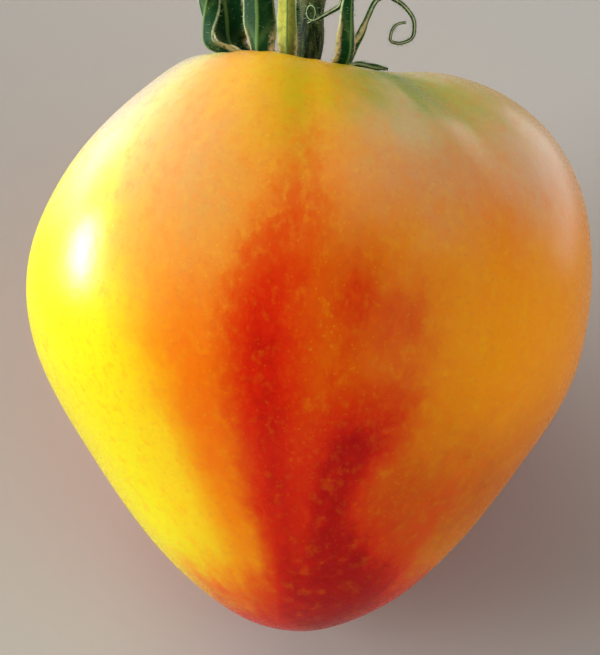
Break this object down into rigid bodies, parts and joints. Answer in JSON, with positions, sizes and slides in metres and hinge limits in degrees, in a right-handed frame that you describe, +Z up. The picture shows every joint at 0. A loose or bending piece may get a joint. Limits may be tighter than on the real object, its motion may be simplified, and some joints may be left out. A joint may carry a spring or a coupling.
{
  "type": "heart-shaped heirloom tomato",
  "caption": "Heart-shaped bicolour heirloom tomato as picked, with its green calyx and a short stalk, lying on its flank.",
  "frame": {"origin": "centre of the small flat of the flank that the fruit rests on, below its centre of mass", "axes": "+Z up from the surface; -Y towards the blossom end, which is low and points at a viewer; +Y towards the stalk, which points up and away; +X to the viewer's right"},
  "size_m": [0.0851, 0.1042, 0.0798],
  "materials": {
    "skin": "glossy, streaked yellow, orange and red",
    "calyx": "matt, finely hairy",
    "stalk": "matt, finely hairy"
  },
  "bodies": {
    "root": {"fruit": "skin", "calyx_seat": "calyx", "stalk": "stalk", "sepal_left": "calyx", "sepal_front_left": "calyx", "sepal_front": "calyx", "sepal_front_right": "calyx", "sepal_right_low": "calyx", "sepal_right_curl": "calyx", "sepal_back_right": "calyx", "sepal_back_left": "calyx"}
  },
  "joints": []
}
